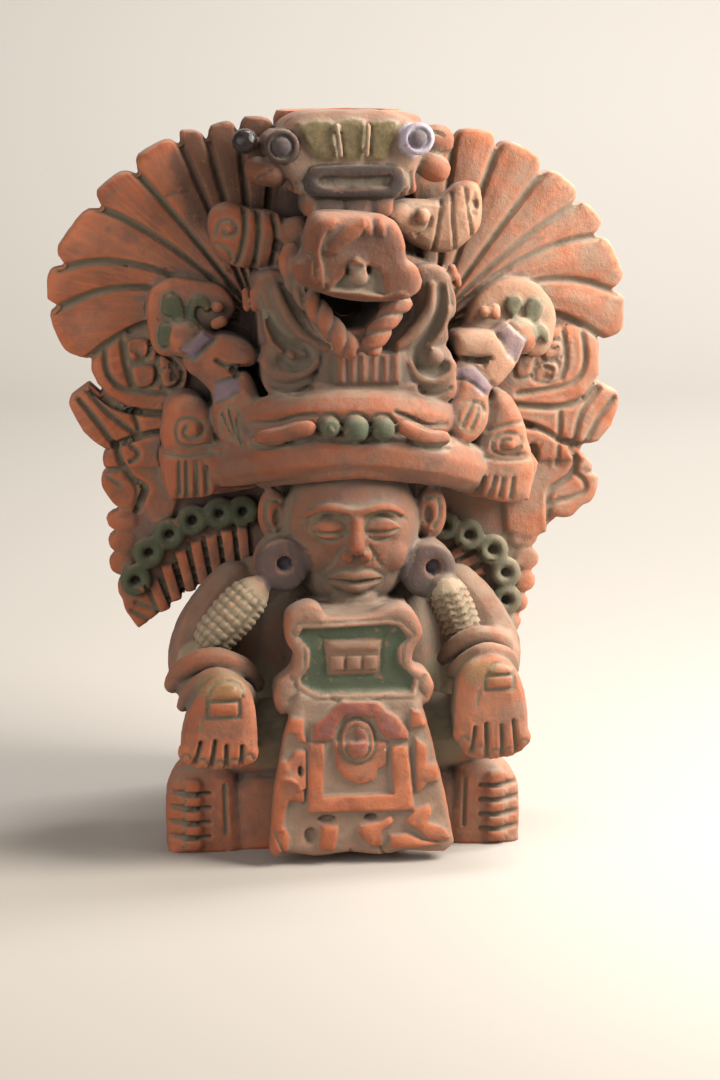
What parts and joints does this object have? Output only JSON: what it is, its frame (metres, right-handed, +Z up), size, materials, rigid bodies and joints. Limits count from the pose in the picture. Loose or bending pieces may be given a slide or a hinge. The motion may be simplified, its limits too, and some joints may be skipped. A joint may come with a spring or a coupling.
{
  "type": "terracotta figurine",
  "caption": "Seated terracotta figure in a wide feather headdress topped by a beast mask, modelled on the front of an open hollow cylinder.",
  "frame": {"origin": "on the flat underside, below the middle of the figure, where the crossed shins meet the front of the cylinder", "axes": "+Z up, the figure faces -Y, +X to the viewer's right"},
  "size_m": [0.2419, 0.155, 0.2977],
  "materials": {
    "terracotta": "unglazed orange-red fired clay, matte, with a grey wash in the recesses and worn patches of coloured paint"
  },
  "bodies": {
    "root": {"figurine": "terracotta"}
  },
  "joints": []
}
